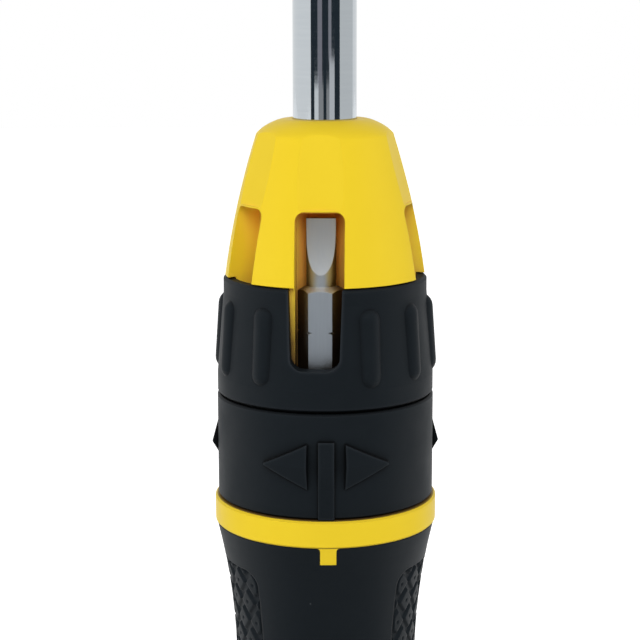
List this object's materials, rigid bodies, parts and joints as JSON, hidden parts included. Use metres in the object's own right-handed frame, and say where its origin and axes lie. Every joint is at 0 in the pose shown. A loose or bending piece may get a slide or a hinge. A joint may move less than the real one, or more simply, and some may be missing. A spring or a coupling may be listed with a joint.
{
  "type": "ratcheting screwdriver",
  "caption": "Ratcheting screwdriver: soft waisted grip, direction collar with arrows, and a tapered nose that stores hex bits behind a turning window ring.",
  "frame": {"origin": "centre of the flat butt, on the tool's axis", "axes": "+Z along the shaft towards the bit, -Y through the index tab at the front, +X to the viewer's right"},
  "size_m": [0.0364, 0.0356, 0.249],
  "materials": {
    "yellow_plastic": "satin moulded plastic",
    "black_rubber": "matte soft grip",
    "black_plastic": "satin moulded plastic",
    "chrome_steel": "polished plating",
    "tool_steel": "satin",
    "die_cast_metal": "as cast",
    "sintered_steel": "matte",
    "spring_steel": "bright",
    "plain_steel": "bright",
    "bronze": "oiled",
    "magnet": "nickel plated"
  },
  "bodies": {
    "handle": {"handle_core": "yellow_plastic", "handle_grip": "black_rubber", "ratchet_housing": "die_cast_metal", "stem_pin": "plain_steel", "rear_bush": "bronze", "front_bush": "bronze", "pawl_pins": "plain_steel", "forward_pawl_spring": "spring_steel", "reverse_pawl_spring": "spring_steel", "selector_detent_spring": "spring_steel", "bit_carousel": "yellow_plastic", "carousel_snap_ring": "spring_steel", "keeper_ring": "plain_steel", "ring_detent_spring": "spring_steel", "slotted_bit_front": "tool_steel", "slotted_bit_small": "tool_steel", "phillips_bit_small": "tool_steel", "torx_bit_large": "tool_steel", "torx_bit_small": "tool_steel"},
    "spindle": {"shaft": "chrome_steel", "ratchet_gear": "sintered_steel", "shaft_clip": "spring_steel", "bit_magnet": "magnet"},
    "driver_bit": {"phillips_bit_chuck": "tool_steel"},
    "selector": {"selector_collar": "black_plastic", "selector_cam": "sintered_steel"},
    "forward_pawl": {"forward_pawl": "sintered_steel"},
    "reverse_pawl": {"reverse_pawl": "sintered_steel"},
    "window_ring": {"window_ring": "black_plastic"}
  },
  "joints": [
    {"name": "shaft_spin", "type": "hinge", "parent": "handle", "child": "spindle", "pos_m": [0, 0, 0.1], "axis": [0, 0, 1], "continuous": true},
    {"name": "bit_pull", "type": "slide", "parent": "spindle", "child": "driver_bit", "axis": [0, 0, 1], "range_m": [0, 0.015]},
    {"name": "selector_turn", "type": "hinge", "parent": "handle", "child": "selector", "pos_m": [0, 0, 0.1], "axis": [0, 0, 1], "range_deg": [-20, 20], "deforming": ["selector_detent_spring"]},
    {"name": "forward_pawl_turn", "type": "hinge", "parent": "handle", "child": "forward_pawl", "pos_m": [-0.0077, 0.006, 0.098], "axis": [0, 0, 1], "range_deg": [-6.3, 6.3], "deforming": ["forward_pawl_spring"]},
    {"name": "reverse_pawl_turn", "type": "hinge", "parent": "handle", "child": "reverse_pawl", "pos_m": [0.0077, 0.006, 0.098], "axis": [0, 0, 1], "range_deg": [-6.3, 6.3], "deforming": ["reverse_pawl_spring"]},
    {"name": "window_ring_turn", "type": "hinge", "parent": "handle", "child": "window_ring", "pos_m": [0, 0, 0.118], "axis": [0, 0, 1], "continuous": true, "deforming": ["ring_detent_spring"]}
  ],
  "couplings": [
    {"joint": "forward_pawl_turn", "follows": "selector_turn", "ratio": -0.31},
    {"joint": "reverse_pawl_turn", "follows": "selector_turn", "ratio": -0.31}
  ]
}
